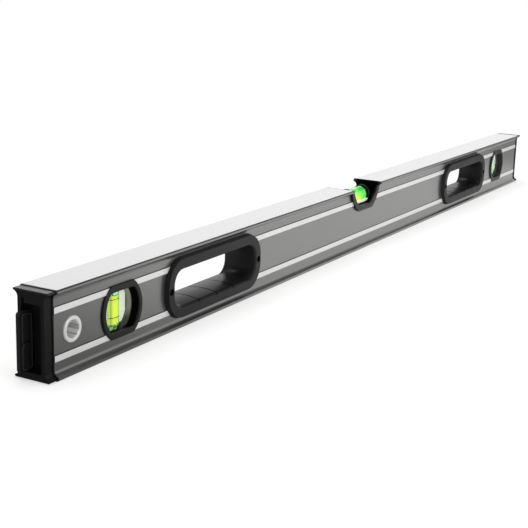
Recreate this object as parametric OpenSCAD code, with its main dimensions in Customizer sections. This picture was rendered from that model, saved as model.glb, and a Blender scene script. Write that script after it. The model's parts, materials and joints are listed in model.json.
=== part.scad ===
// Box beam level: a hollow aluminium beam with two hand holds and three vials.
// The frame: X runs along the beam, -Y is the front face, +Z is up.
// The origin lies at the middle of the bottom measuring face.

/* [Beam] */
// Overall length over the two end cap plates
level_l = 914; // [760:2:1100]
// Height between the two measuring faces
beam_h = 59; // [58:0.5:66]
// Depth across the rails
beam_d = 29; // [27.5:0.5:34]
// Depth across the two webs
web_d = 22; // [20:0.5:24]
// Wall thickness of a web
web_t = 1.8; // [1.4:0.1:2.4]
// Thickness of the plate behind a measuring face
rail_t = 3.2; // [2.6:0.1:4]
// Height of the upright edge of a rail
rail_edge_h = 2.4; // [1.6:0.1:3]
// Radius of the cove between a rail and its web
cove_r = 4.2; // [3.8:0.1:5]
// Radius of the inner corners of the hollow
hollow_r = 2; // [0.5:0.1:3]
// Bevel on the long edges of the rails
rail_bevel = 0.5; // [0.2:0.1:1]

/* [Bare stripes] */
// Distance of the middle of a stripe from its measuring face
stripe_in = 13.75; // [13:0.25:15.5]
// Width of the bare face of a stripe
stripe_w = 4.1; // [2:0.1:5]
// How far a stripe stands proud of the web
stripe_up = 0.5; // [0.3:0.1:0.8]

/* [Hand holds] */
// Distance of the middle of a hand hold from its end of the level
grip_from_end = 193; // [175:1:240]
// Half length of the opening at its lip
grip_half_l = 55.5; // [45:0.5:60]
// Half height of the opening at its lip
grip_half_h = 13.2; // [12:0.1:13.4]
// Corner radius of the opening
grip_corner_r = 10; // [8:0.5:10]
// How far the grip face stands proud of the web
grip_up = 3.8; // [3:0.1:4.2]
// Width of the grip frame around the opening, at its face
grip_face_w = 8.5; // [8.2:0.1:8.7]
// Extra width of the frame where it meets the web
grip_draft = 1.2; // [0.6:0.1:1.4]
// Thickness of the lining behind the lip
grip_lining_t = 2.6; // [2:0.1:3]
// Radius of the lip that a hand rolls over
grip_lip_r = 2.2; // [1.8:0.1:3]
// How far the middle of the lining bulges into the opening
grip_crown = 0.9; // [0.6:0.1:1.5]
// Number of finger grooves in the floor of the opening
groove_count = 3; // [1:1:5]
// Distance between finger grooves
groove_pitch = 24; // [12:1:25]
// Width of a finger groove
groove_w = 1.1; // [0.6:0.1:2]
// Depth of a finger groove
groove_depth = 0.8; // [0.3:0.1:1]

/* [Grip screws] */
// Distance of a screw from the middle of its hand hold, past the end of the opening
screw_past = 5.4; // [4.6:0.1:5.6]
// Shank diameter of a screw
screw_d = 2.9; // [2.4:0.1:3.2]
// Head diameter of a screw
screw_head_d = 4.7; // [4.2:0.1:4.9]
// Head height of a screw
screw_head_h = 1.7; // [1.2:0.1:2]
// Length of a screw below its head
screw_l = 17; // [13:0.5:19]
// Depth of the screw recess below the grip face
screw_sink = 3.2; // [2.2:0.1:3.4]

/* [Plumb vials] */
// Distance of a plumb vial from its end of the level
plumb_from_end = 78; // [74:1:84]
// Radius of the round part of a plumb bezel
plumb_bezel_r = 22.3; // [21.5:0.1:24]
// Half height of a plumb bezel at its flats
plumb_bezel_h = 18.3; // [17.5:0.1:18.6]
// How far a plumb bezel stands proud of the web
plumb_bezel_up = 1.5; // [1:0.1:2.2]
// Radius of the window at the bezel's face
plumb_window_r = 18.8; // [17.5:0.1:19.2]
// Radius of the window where it meets the vial block
plumb_inner_r = 17; // [15.5:0.1:17.2]
// Half height of the window at its flats
plumb_window_h = 14; // [12.5:0.1:14.5]
// Thickness of the clear vial block
block_t = 14; // [13:0.5:15]
// Diameter of the liquid chamber in the block
chamber_d = 11.4; // [9:0.1:11.8]
// Length of the liquid chamber
chamber_l = 25; // [20:0.5:26]
// Distance between the two reader rings
ring_gap = 12.6; // [10:0.1:14]
// Radius of the bubble
bubble_r = 4.2; // [3:0.1:4.6]

/* [Centre vial] */
// Half length of the notch through the top rail
notch_half = 31; // [30:0.5:36]
// Depth of the centre vial's axis below the top face
barrel_down = 10.8; // [10.4:0.1:11.2]
// Radius of the clear barrel
barrel_r = 7.6; // [7:0.1:8]
// Half length of the clear barrel
barrel_half = 15.5; // [15:0.5:18]
// Radius of the end disc that carries the barrel
disc_r = 8.6; // [8.2:0.1:8.8]
// Thickness of an end disc
disc_t = 2.2; // [1.5:0.1:3]
// Radius of the sides of the centre bezel
shield_r = 31.4; // [31:0.1:32]
// Height of the middle of that radius above the top face
shield_above = 6; // [5.5:0.1:7]
// Depth of the bottom edge of the centre bezel below the top face
shield_low_down = 22.2; // [21.5:0.1:23]
// Depth of the top edge of the centre bezel below the top face
shield_high_down = 3.5; // [3:0.1:5]
// Depth of the top edge of the back bezel, which leaves the barrel open to the light
shield_back_down = 11; // [7:0.5:13]
// Width of the centre bezel's frame
shield_w = 4.7; // [4:0.1:5.5]
// How far the centre bezel stands proud of the web
shield_up = 2; // [1.2:0.1:2.6]
// Wall thickness of the centre saddle
saddle_t = 2.2; // [2:0.1:3]
// Depth of the saddle's underside below the top face
saddle_low_down = 22.4; // [21.8:0.1:23]
// Radius of the rounding on the inner top edge of a saddle wall
saddle_round_r = 1.8; // [1:0.1:1.8]

/* [End caps] */
// Thickness of the end cap plate
cap_t = 8.5; // [7:0.5:12]
// How far the end cap stays back from the beam's outline
cap_inset = 0.5; // [0.3:0.1:0.8]
// How far the plug reaches into the beam
plug_l = 9; // [6:0.5:9.5]
// Wall thickness of the plug
plug_t = 2; // [1.5:0.1:3]
// Thickness of the rib, flush with the beam, that the cap has next to it
cap_rib_t = 1.2; // [0.8:0.1:2]
// Depth of the recess in the end face
recess_depth = 7; // [4:0.5:7]
// Half width of the recess across the level
recess_half_w = 7.8; // [7:0.1:8.2]
// Height of the bottom of the recess above the bottom face
recess_low = 5; // [4.8:0.1:7]
// Depth of the top of the recess below the top face
recess_high_down = 9.2; // [9:0.1:15]
// Height of the narrow slot above the recess
slot_l = 3.4; // [2:0.1:4]
// Width of the narrow slot
slot_w = 1.8; // [1:0.1:2.2]
// Depth of the narrow slot
slot_depth = 3; // [2:0.5:5]

/* [End bumpers] */
// Width of the rubber bumper across the level
bumper_w = 2.8; // [2.4:0.1:4]
// How far the bumper stands out from the end face
bumper_out = 5; // [3:0.1:6]
// Gap between the top of the bumper and the top of the recess
bumper_drop = 5.4; // [3:0.1:7]
// How far the pads on the bumper's side stand out
pad_up = 0.9; // [0.3:0.1:1.2]

/* [Hanging hole] */
// Distance of the hanging hole from the left end of the level
hang_x = 25.6; // [25.2:0.1:26]
// Clear diameter of the hanging hole
hang_d = 12; // [10:0.1:12.4]
// Wall thickness of the eyelet's tube
eyelet_t = 0.9; // [0.6:0.1:1.2]
// Diameter of the eyelet's rim
eyelet_rim_d = 17.4; // [16.5:0.1:18]
// How far the rim stands proud of the web
eyelet_up = 1.3; // [0.8:0.1:1.6]

/* [Fits] */
// Clearance around a piece that drops into a cut-out
fit_gap = 0.25; // [0.15:0.05:0.35]
// Clearance between a liquid or a ring and its wall
thin_gap = 0.05; // [0.03:0.01:0.08]

/* [Hidden] */
$fn = 96;

black = [0.06, 0.06, 0.065];
rubber = [0.03, 0.03, 0.03];
clear = [0.85, 0.95, 0.9, 0.35];
green = [0.55, 0.85, 0.15, 0.7];
bare = [0.86, 0.86, 0.85];
grey = [0.5, 0.5, 0.49];

// Beyond covers the length by which a cutter runs past what it cuts
beyond = 1;
half_l = level_l / 2;
beam_half = half_l - cap_t;
mid_z = beam_h / 2;
stripe_z = mid_z - stripe_in;
web_half = web_d / 2;
web_in = web_half - web_t;
rail_half = beam_d / 2;

grip_x = half_l - grip_from_end;
grip_face = web_half + grip_up;
grip_base_w = grip_face_w + grip_draft;
screw_x = grip_half_l + screw_past;
boss_r = 3.4;
screw_hole_gap = 0.2;
crown_r = 60;
crown_u = crown_r - grip_crown;
lip_v = grip_face - grip_lip_r;
arc_gap = crown_r - grip_lip_r;
// The lip's arc laps the crown's by this much, so that the two cross cleanly
lip_lap = 0.02;
lip_u = crown_u - sqrt(pow(arc_gap, 2) - pow(lip_v, 2)) - lip_lap;

plumb_x = half_l - plumb_from_end;
plumb_face = web_half + plumb_bezel_up;
block_half_t = block_t / 2;
reflector_t = 1;
plumb_barrel_r = plumb_inner_r + 1.6;
plumb_barrel_h = plumb_window_h + 1.6;
ring_t = 0.3;
ring_w = 0.6;
plug_h = 2.5;

barrel_z = beam_h - barrel_down;
shield_z = beam_h + shield_above;
shield_low = beam_h - shield_low_down;
shield_high = beam_h - shield_high_down;
shield_back_high = beam_h - shield_back_down;
saddle_low = beam_h - saddle_low_down;
recess_high = beam_h - recess_high_down;
shield_face = web_half + shield_up;
saddle_half = notch_half - fit_gap;
wing_low = beam_h - rail_edge_h - cove_r;
hang_pos = -half_l + hang_x;

// Helpers

// Lays a flat outline, drawn as X and Z, between two depths
module through_depth(from_y, to_y) {
    translate([0, to_y, 0]) rotate([90, 0, 0]) linear_extrude(to_y - from_y) children();
}

// Runs a cross-section, drawn as Y and Z, along the beam
module along_beam(from_x, to_x) {
    translate([from_x, 0, 0]) rotate([90, 0, 90]) linear_extrude(to_x - from_x) children();
}

// A rectangle with round corners, centred
module rounded_rect(w, h, r) {
    square([w - 2 * r, h], center = true);
    square([w, h - 2 * r], center = true);
    for (x = [-1, 1], y = [-1, 1]) translate([x * (w / 2 - r), y * (h / 2 - r)]) circle(r);
}

// A circle with its top and bottom cut off flat
module flatted_circle(r, h) {
    intersection() {
        circle(r);
        square([2 * r + beyond, 2 * h], center = true);
    }
}

// Places what follows at a height on the middle of the web
module at_web(x) {
    translate([x, 0, mid_z]) children();
}

// Turns a front piece into its back twin
module back_twin() {
    mirror([0, 1, 0]) children();
}

// Beam section

// The space between two rails, on one side of the beam
module side_pocket(web, inset) {
    edge = rail_edge_h + inset;
    lip = rail_half - web_half;
    rise = sqrt(pow(cove_r, 2) - pow(cove_r - lip, 2));
    low = edge + rise - 2 * inset;
    high = beam_h - low;
    translate([web + cove_r, low]) circle(cove_r);
    translate([web + cove_r, high]) circle(cove_r);
    translate([web, low]) square([2 * cove_r, high - low]);
}

// The outside of the beam: two rails and the web between them
module outer_section(inset) {
    d = rail_half - inset;
    low = inset;
    high = beam_h - inset;
    c = rail_bevel;
    difference() {
        polygon([[-d + c, low], [d - c, low], [d, low + c], [d, high - c],
                 [d - c, high], [-d + c, high], [-d, high - c], [-d, low + c]]);
        side_pocket(web_half - inset, inset);
        mirror([1, 0]) side_pocket(web_half - inset, inset);
    }
}

// The proud stripes, which are left bare; extra makes the clearance for what sits over them
module stripes(extra) {
    up = stripe_up + extra;
    root = web_t / 2;
    half_w = stripe_w / 2 + extra;
    root_half_w = half_w + up + root;
    for (turn = [0, 180], level = [-1, 1])
        translate([0, mid_z]) rotate(turn) translate([web_half, level * stripe_z])
            polygon([[-root, -root_half_w], [up, -half_w], [up, half_w], [-root, root_half_w]]);
}

module beam_section() {
    difference() {
        union() {
            outer_section(0);
            stripes(0);
        }
        translate([0, mid_z]) rounded_rect(2 * web_in, beam_h - 2 * rail_t, hollow_r);
    }
}

// The stripes, as they lie under a frame that is drawn flat with its face towards +Z
module stripes_laid(reach) {
    rotate([-90, 0, 0]) translate([0, 0, -mid_z]) along_beam(-reach, reach) stripes(thin_gap);
}

// Openings in the beam

module grip_hole() {
    grow = grip_lining_t + fit_gap;
    rounded_rect(2 * (grip_half_l + grow), 2 * (grip_half_h + grow), grip_corner_r + grow);
    for (side = [-1, 1]) translate([side * screw_x, 0]) circle(boss_r + fit_gap);
}

module plumb_hole() {
    flatted_circle(plumb_barrel_r + fit_gap, plumb_barrel_h + fit_gap);
}

// The outline of the centre bezel, grown or shrunk by a width
module shield(grow, top) {
    low = shield_low - grow;
    intersection() {
        translate([0, shield_z]) circle(shield_r + grow);
        translate([-shield_r - beyond, low]) square([2 * (shield_r + beyond), top - low]);
    }
}

module centre_notch() {
    translate([-notch_half, wing_low]) square([2 * notch_half, beam_h]);
    shield(-shield_w / 2, shield_z);
}

module beam() {
    color(grey) difference() {
        along_beam(-beam_half, beam_half) beam_section();
        through_depth(-beam_d, beam_d) {
            for (side = [-1, 1]) {
                translate([side * grip_x, mid_z]) grip_hole();
                translate([side * plumb_x, mid_z]) plumb_hole();
            }
            centre_notch();
            translate([hang_pos, mid_z]) circle(hang_d / 2 + eyelet_t + thin_gap);
        }
    }
}

// Hand holds

// The palm side of a grip shell, filled in behind. u runs outward from the opening's lip and v from
// the parting plane to the face. The crown's arc runs into the lip's where the two all but touch.
module palm(inset, from_v) {
    meet_v = lip_v * (crown_r - inset) / arc_gap;
    clear_u = -2 * grip_crown;
    intersection() {
        translate([crown_u, 0]) circle(crown_r - inset, $fn = 180);
        translate([clear_u, from_v]) square([lip_u - clear_u, meet_v - from_v]);
    }
    intersection() {
        translate([lip_u, lip_v]) circle(grip_lip_r - inset);
        translate([clear_u, lip_v]) square([lip_u - clear_u, 2 * grip_lip_r]);
    }
}

// The wall that lines the opening, and the frame that lies on the web out to its drafted edge
module grip_section() {
    difference() {
        union() {
            palm(0, 0);
            polygon([[lip_u, web_half], [grip_base_w, web_half],
                     [grip_face_w, grip_face], [lip_u, grip_face]]);
        }
        translate([grip_lining_t, -beyond]) square([grip_base_w, web_half + beyond]);
    }
}

// Sweeps a section round a rectangle with round corners, in the plane of the opening
module frame_sweep(half_w, half_h, r) {
    for (k = [0:3]) {
        along = k % 2 == 0 ? half_w : half_h;
        across = k % 2 == 0 ? half_h : half_w;
        rotate([0, 0, 90 * k]) {
            translate([-(along - r), across, 0])
                rotate([90, 0, 90]) linear_extrude(2 * (along - r)) children();
            translate([along - r, across - r, 0])
                rotate_extrude(angle = 90) translate([r, 0]) children();
        }
    }
}

// One finger groove, which follows the crown and rolls over the lip
module finger_groove() {
    rotate([90, 0, 90]) linear_extrude(groove_w, center = true) difference() {
        translate([-2 * grip_crown, -beyond / 2])
            square([2 * grip_crown + lip_u, grip_face + beyond]);
        palm(groove_depth, -beyond);
    }
}

// What the stripes take out of a grip frame: they end at the opening's lining
module stripe_relief() {
    out = grip_lining_t;
    difference() {
        stripes_laid(2 * grip_half_l);
        linear_extrude(2 * grip_face)
            rounded_rect(2 * (grip_half_l + out), 2 * (grip_half_h + out), grip_corner_r + out);
    }
}

// A grip shell lies in the plane of the opening, with its face towards +Z
module grip_blank() {
    difference() {
        union() {
            frame_sweep(grip_half_l, grip_half_h, grip_corner_r) grip_section();
            for (side = [-1, 1]) translate([side * screw_x, 0, 0]) cylinder(r = boss_r, h = web_half);
        }
        stripe_relief();
        for (k = [0:groove_count - 1])
            translate([(k - (groove_count - 1) / 2) * groove_pitch, -grip_half_h, 0])
                mirror([0, 1, 0]) finger_groove();
    }
}

// Stands a grip shell up with its face to the front
module stand_grip(side) {
    at_web(side * grip_x) rotate([90, 0, 0]) children();
}

module grip_front(side) {
    sink_r = screw_head_d / 2 + screw_hole_gap;
    color(black) stand_grip(side) difference() {
        grip_blank();
        for (end = [-1, 1]) translate([end * screw_x, 0, 0]) {
            translate([0, 0, -beyond]) cylinder(r = screw_d / 2 + screw_hole_gap, h = 2 * web_half);
            translate([0, 0, grip_face - screw_sink]) cylinder(r = sink_r, h = screw_sink + beyond);
        }
    }
}

module grip_back(side) {
    pilot_h = screw_l - (grip_face - screw_sink - screw_head_h) + beyond;
    color(black) back_twin() stand_grip(side) difference() {
        grip_blank();
        for (end = [-1, 1]) translate([end * screw_x, 0, -beyond])
            cylinder(r = screw_d / 2 + thin_gap, h = pilot_h + beyond);
    }
}

module grip_screw() {
    seat = grip_face - screw_sink;
    drive_w = 0.8;
    drive_l = 3;
    drive_h = 1;
    difference() {
        union() {
            translate([0, 0, seat]) cylinder(d = screw_head_d, h = screw_head_h);
            translate([0, 0, seat - screw_l + screw_head_h]) cylinder(d = screw_d, h = screw_l);
        }
        for (turn = [0, 90]) rotate([0, 0, turn]) translate([0, 0, seat + screw_head_h])
            cube([drive_l, drive_w, 2 * drive_h], center = true);
    }
}

module grip_screws(side) {
    color([0.12, 0.12, 0.12]) stand_grip(side) for (end = [-1, 1])
        translate([end * screw_x, 0, 0]) grip_screw();
}

// Plumb vials

// A bezel lies with its face towards +Z; inner is the depth at which it meets the vial block
module plumb_bezel_blank(inner) {
    bevel = 0.6;
    difference() {
        union() {
            difference() {
                intersection() {
                    union() {
                        translate([0, 0, web_half]) cylinder(r = plumb_bezel_r, h = plumb_bezel_up - bevel);
                        translate([0, 0, plumb_face - bevel])
                            cylinder(r1 = plumb_bezel_r, r2 = plumb_bezel_r - bevel, h = bevel);
                    }
                    cube([4 * plumb_bezel_r, 2 * plumb_bezel_h, 4 * plumb_face], center = true);
                }
                stripes_laid(2 * plumb_bezel_r);
            }
            translate([0, 0, inner]) linear_extrude(web_half - inner + bevel)
                flatted_circle(plumb_barrel_r, plumb_barrel_h);
        }
        intersection() {
            translate([0, 0, inner])
                cylinder(r1 = plumb_inner_r, r2 = plumb_window_r, h = plumb_face - inner);
            cube([4 * plumb_bezel_r, 2 * plumb_window_h, 4 * plumb_face], center = true);
        }
        translate([0, 0, inner - beyond]) linear_extrude(beyond)
            flatted_circle(plumb_inner_r, plumb_window_h);
        translate([0, 0, plumb_face]) linear_extrude(beyond) flatted_circle(plumb_window_r, plumb_window_h);
    }
}

module plumb_front_bezel(side) {
    color(black) at_web(side * plumb_x) rotate([90, 0, 0]) plumb_bezel_blank(block_half_t);
}

module plumb_back_bezel(side) {
    color(black) back_twin() at_web(side * plumb_x) rotate([90, 0, 0])
        plumb_bezel_blank(block_half_t + reflector_t);
}

// The clear block: a drum with flats, drilled from below for the liquid and its plug
module plumb_block(side) {
    color(clear) at_web(side * plumb_x) difference() {
        through_depth(-block_half_t, block_half_t) flatted_circle(plumb_barrel_r, plumb_barrel_h);
        translate([0, 0, -plumb_barrel_h - beyond])
            cylinder(d = chamber_d, h = plumb_barrel_h + beyond + chamber_l / 2);
        for (level = [-1, 1]) translate([0, 0, level * ring_gap / 2])
            cylinder(r = chamber_d / 2 + ring_t, h = ring_w, center = true);
    }
}

// The bubble stands at the top of an upright chamber
module plumb_liquid(side) {
    color(green) at_web(side * plumb_x) difference() {
        cylinder(d = chamber_d - 2 * thin_gap, h = chamber_l - 2 * thin_gap, center = true);
        translate([0, 0, chamber_l / 2]) sphere(bubble_r);
    }
}

module ring_pair(gap) {
    for (level = [-1, 1]) translate([0, 0, level * gap / 2]) difference() {
        cylinder(r = chamber_d / 2 + ring_t - thin_gap, h = ring_w - 2 * thin_gap, center = true);
        cylinder(d = chamber_d, h = 2 * ring_w, center = true);
    }
}

module plumb_rings(side) {
    color(black) at_web(side * plumb_x) ring_pair(ring_gap);
}

module plumb_plug(side) {
    h = plumb_barrel_h - chamber_l / 2;
    color(black) at_web(side * plumb_x) translate([0, 0, -plumb_barrel_h])
        cylinder(d = chamber_d - 2 * thin_gap, h = h);
}

// A white plate behind the block, open in the middle so that the vial reads from both sides
module plumb_reflector(side) {
    plate_h = 11.8;
    slot_half = 6.3;
    color("white") at_web(side * plumb_x) through_depth(block_half_t, block_half_t + reflector_t)
        difference() {
            flatted_circle(plumb_barrel_r, plumb_barrel_h);
            square([2 * slot_half, 2 * plate_h], center = true);
        }
}

// Centre vial

// The saddle: a trough with wings that close the cut ends of the rails
module centre_saddle() {
    floor_t = 1.4;
    cradle_t = 3;
    seat_gap = 0.1;
    cradle_x = barrel_half + disc_t;
    trough_w = 2 * (web_in - fit_gap);
    color(black) for (side = [0, 1]) mirror([side, 0, 0]) {
        difference() {
            union() {
                intersection() {
                    along_beam(saddle_half - saddle_t, saddle_half) outer_section(0);
                    translate([0, -beam_d, wing_low + fit_gap]) cube([level_l, 2 * beam_d, beam_h]);
                }
                translate([saddle_half - saddle_t, -trough_w / 2, saddle_low])
                    cube([saddle_t, trough_w, beam_h - saddle_low - rail_t]);
            }
            edge_round();
        }
        difference() {
            translate([cradle_x - disc_t, -trough_w / 2, saddle_low])
                cube([cradle_t + disc_t, trough_w, barrel_z - saddle_low]);
            translate([cradle_x - disc_t - beyond, 0, barrel_z]) rotate([0, 90, 0])
                cylinder(r = disc_r + seat_gap, h = disc_t + seat_gap + beyond);
        }
        translate([-beyond, -trough_w / 2, saddle_low]) cube([saddle_half + beyond, trough_w, floor_t]);
    }
}

// Rounds the inner top edge of a saddle wall
module edge_round() {
    round_r = saddle_round_r;
    translate([saddle_half - saddle_t, 0, beam_h - round_r]) rotate([90, 0, 0]) difference() {
        translate([-beyond, 0, -beam_d]) cube([round_r + beyond, round_r + beyond, 2 * beam_d]);
        translate([round_r, 0, -beam_d - beyond]) cylinder(r = round_r, h = 2 * (beam_d + beyond));
    }
}

// A shield-shaped frame with a lip that enters the web, and its face to the front
module centre_bezel_blank(high) {
    lip_in = web_in + fit_gap;
    difference() {
        union() {
            difference() {
                through_depth(-shield_face, -web_half) shield(0, high);
                along_beam(-notch_half, notch_half) stripes(thin_gap);
            }
            through_depth(-web_half - beyond / 2, -lip_in)
                shield(-shield_w / 2 - fit_gap, min(high, wing_low));
        }
        through_depth(-beam_d, 0) shield(-shield_w, shield_z);
    }
}

module centre_front_bezel() {
    color(black) centre_bezel_blank(shield_high);
}

module centre_back_bezel() {
    color(black) back_twin() centre_bezel_blank(shield_back_high);
}

// Lays an upright round thing along the barrel's axis
module on_barrel() {
    translate([0, 0, barrel_z]) rotate([0, 90, 0]) children();
}

module centre_barrel() {
    color(clear) on_barrel() difference() {
        cylinder(r = barrel_r, h = 2 * barrel_half, center = true);
        translate([0, 0, -barrel_half + plug_h]) cylinder(d = chamber_d, h = 2 * barrel_half);
        for (level = [-1, 1]) translate([0, 0, level * ring_gap / 2])
            cylinder(r = chamber_d / 2 + ring_t, h = ring_w, center = true);
    }
}

// The bubble floats at the top, between the rings
module centre_liquid() {
    h = 2 * (barrel_half - plug_h) - 2 * thin_gap;
    color(green) difference() {
        on_barrel() cylinder(d = chamber_d - 2 * thin_gap, h = h, center = true);
        translate([0, 0, barrel_z + chamber_d / 2]) sphere(bubble_r);
    }
}

module centre_rings() {
    color(black) on_barrel() ring_pair(ring_gap);
}

module centre_plug() {
    color(black) on_barrel() translate([0, 0, barrel_half - plug_h])
        cylinder(d = chamber_d - 2 * thin_gap, h = plug_h);
}

module centre_end_discs() {
    color(black) on_barrel() for (side = [-1, 1])
        translate([0, 0, side * (barrel_half + disc_t / 2)]) cylinder(r = disc_r, h = disc_t, center = true);
}

// A white cradle under the barrel that throws light up through the liquid
module centre_reflector() {
    cradle_gap = 0.1;
    cradle_t = 0.9;
    cradle_half = barrel_half - cradle_gap;
    cradle_top = barrel_z - barrel_r / 2;
    color("white") intersection() {
        on_barrel() difference() {
            cylinder(r = barrel_r + cradle_gap + cradle_t, h = 2 * cradle_half, center = true);
            cylinder(r = barrel_r + cradle_gap, h = 2 * cradle_half + beyond, center = true);
        }
        translate([-notch_half, -beam_d, 0]) cube([2 * notch_half, 2 * beam_d, cradle_top]);
    }
}

// End caps

// The cap is drawn at the left end, where its end face looks along -X
module end_cap_blank() {
    recess_h = recess_high - recess_low;
    recess_mid = (recess_high + recess_low) / 2;
    corner = 1.5;
    plug_w = 2 * (web_in - fit_gap);
    plug_h_out = beam_h - 2 * (rail_t + fit_gap);
    difference() {
        union() {
            along_beam(-half_l, -beam_half) outer_section(cap_inset);
            along_beam(-beam_half - cap_rib_t, -beam_half) outer_section(0);
            along_beam(-beam_half, -beam_half + plug_l) translate([0, mid_z]) difference() {
                rounded_rect(plug_w, plug_h_out, hollow_r);
                rounded_rect(plug_w - 2 * plug_t, plug_h_out - 2 * plug_t, hollow_r);
            }
        }
        along_beam(-half_l - beyond, -half_l + recess_depth) translate([0, recess_mid])
            rounded_rect(2 * recess_half_w, recess_h, corner);
        translate([-half_l - beyond, recess_half_w - bumper_w / 2 - slot_w / 2, recess_high - corner])
            cube([slot_depth + beyond, slot_w, slot_l + corner]);
    }
}

// The rubber blade stands at the back of the recess and reaches out past the end face
module end_bumper_blank() {
    low = recess_low + thin_gap;
    high = recess_high - bumper_drop;
    tall = high - low;
    wide = bumper_out + recess_depth - thin_gap;
    corner = 2;
    pad_margin = 1.3;
    pad_h = tall / 2 - 1.5 * pad_margin;
    pad_w = wide - 2 * pad_margin;
    mid_x = -half_l - bumper_out + wide / 2;
    back = recess_half_w - thin_gap;
    front = back - bumper_w;
    translate([mid_x, 0, (low + high) / 2]) {
        through_depth(front, back) rounded_rect(wide, tall, corner);
        for (level = [-1, 1]) translate([0, 0, level * (pad_h + pad_margin) / 2])
            through_depth(front - pad_up, front) rounded_rect(pad_w, pad_h, corner);
    }
}

module at_end(side) {
    mirror([side > 0 ? 1 : 0, 0, 0]) children();
}

module end_cap(side) {
    color(black) at_end(side) end_cap_blank();
}

module end_bumper(side) {
    color(rubber) at_end(side) end_bumper_blank();
}

// Hanging hole

// Half of the eyelet's section: a tube wall and the round-edged rim on the front web
module eyelet_half_section() {
    tube_r = hang_d / 2;
    rim_w = eyelet_rim_d / 2 - tube_r;
    round_r = eyelet_up / 2;
    square_w = rim_w - 2 * round_r;
    translate([tube_r, 0]) square([eyelet_t, web_half + round_r]);
    translate([tube_r, web_half]) square([rim_w, round_r]);
    translate([tube_r + round_r, web_half]) square([square_w, eyelet_up]);
    for (x = [tube_r + round_r, tube_r + round_r + square_w])
        translate([x, web_half + round_r]) circle(round_r, $fn = 32);
}

module hanging_eyelet() {
    color(bare) translate([hang_pos, 0, mid_z]) rotate([90, 0, 0]) rotate_extrude() {
        eyelet_half_section();
        mirror([0, 1]) eyelet_half_section();
    }
}

beam();
end_cap(-1);  // end_cap_left
end_cap(1);  // end_cap_right
end_bumper(-1);  // end_bumper_left
end_bumper(1);  // end_bumper_right
hanging_eyelet();
grip_front(-1);  // grip_left_front
grip_back(-1);  // grip_left_back
grip_screws(-1);  // grip_left_screws
grip_front(1);  // grip_right_front
grip_back(1);  // grip_right_back
grip_screws(1);  // grip_right_screws
plumb_front_bezel(-1);  // plumb_left_front_bezel
plumb_back_bezel(-1);  // plumb_left_back_bezel
plumb_block(-1);  // plumb_left_block
plumb_liquid(-1);  // plumb_left_liquid
plumb_rings(-1);  // plumb_left_rings
plumb_plug(-1);  // plumb_left_plug
plumb_reflector(-1);  // plumb_left_reflector
plumb_front_bezel(1);  // plumb_right_front_bezel
plumb_back_bezel(1);  // plumb_right_back_bezel
plumb_block(1);  // plumb_right_block
plumb_liquid(1);  // plumb_right_liquid
plumb_rings(1);  // plumb_right_rings
plumb_plug(1);  // plumb_right_plug
plumb_reflector(1);  // plumb_right_reflector
centre_saddle();
centre_front_bezel();
centre_back_bezel();
centre_barrel();
centre_liquid();
centre_rings();
centre_plug();
centre_end_discs();
centre_reflector();
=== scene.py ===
# %% [markdown]
# # A box beam level, dressed and lit
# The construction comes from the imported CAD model, which loads first and never moves.
# This lesson gives each part its finish, fills the three vials, and sets up a small studio.

# %% Load the fixed frame
import json
import math

import bmesh
import bpy
from mathutils import Matrix, Vector


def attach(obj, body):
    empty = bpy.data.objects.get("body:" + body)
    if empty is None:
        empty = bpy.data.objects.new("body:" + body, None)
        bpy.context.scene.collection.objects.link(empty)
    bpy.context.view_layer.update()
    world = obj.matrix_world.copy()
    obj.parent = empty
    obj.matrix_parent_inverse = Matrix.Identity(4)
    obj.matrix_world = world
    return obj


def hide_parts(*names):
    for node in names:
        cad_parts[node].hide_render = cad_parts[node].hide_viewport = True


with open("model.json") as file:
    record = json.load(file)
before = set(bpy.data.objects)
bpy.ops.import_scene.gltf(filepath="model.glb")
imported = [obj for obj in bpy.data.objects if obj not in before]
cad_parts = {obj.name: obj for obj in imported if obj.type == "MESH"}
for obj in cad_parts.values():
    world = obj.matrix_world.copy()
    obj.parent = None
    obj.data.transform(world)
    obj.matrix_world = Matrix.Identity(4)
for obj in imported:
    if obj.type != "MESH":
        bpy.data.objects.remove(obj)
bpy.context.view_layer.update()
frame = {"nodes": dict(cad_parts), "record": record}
nodes = frame["nodes"]
scene = bpy.context.scene
scene.view_settings.view_transform = "Standard"
MM = 0.001

# %% [markdown]
# ## Helpers
# A colour picker shows sRGB numbers, but shaders work in linear light.
# One function turns a hex code into linear numbers, so each colour is written as it looks.
# Another adds a node, sets it up, and fills or links its inputs. Two more fill a colour ramp and
# start a new finish.

# %% Colour and node helpers
def srgb(code):
    """Linear red, green, blue and alpha of a hex colour."""
    parts = [int(code[i:i + 2], 16) / 255 for i in (1, 3, 5)]
    return (*[p / 12.92 if p <= 0.04045 else ((p + 0.055) / 1.055) ** 2.4 for p in parts], 1.0)


def add_node(tree, kind, inputs=None, **settings):
    """Adds a node. An input takes a value, an output, or a node, whose first live output it links."""
    node = tree.nodes.new(kind)
    for name, value in settings.items():
        setattr(node, name, value)
    for socket, value in (inputs or {}).items():
        if isinstance(value, bpy.types.Node):
            value = next(o for o in value.outputs if o.enabled)
        if isinstance(value, bpy.types.NodeSocket):
            tree.links.new(value, node.inputs[socket])
        else:
            node.inputs[socket].default_value = value
    return node


def set_stops(elements, stops):
    """Gives a colour ramp its stops, each a place from 0 to 1 and a hex code."""
    elements.remove(elements[1])
    for k, (place, code) in enumerate(stops):
        stop = elements.new(place) if k else elements[0]
        stop.position, stop.color = place, srgb(code)


def new_finish(name):
    """An empty material and its node tree."""
    material = bpy.data.materials.new(name)
    material.use_nodes = True
    material.node_tree.nodes.clear()
    return material, material.node_tree


# %% [markdown]
# ## The camera
# The photograph looks down along the level from its left end, through a long lens.
# Its place, angle and lens were worked out from the edges and corners of the beam.

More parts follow.
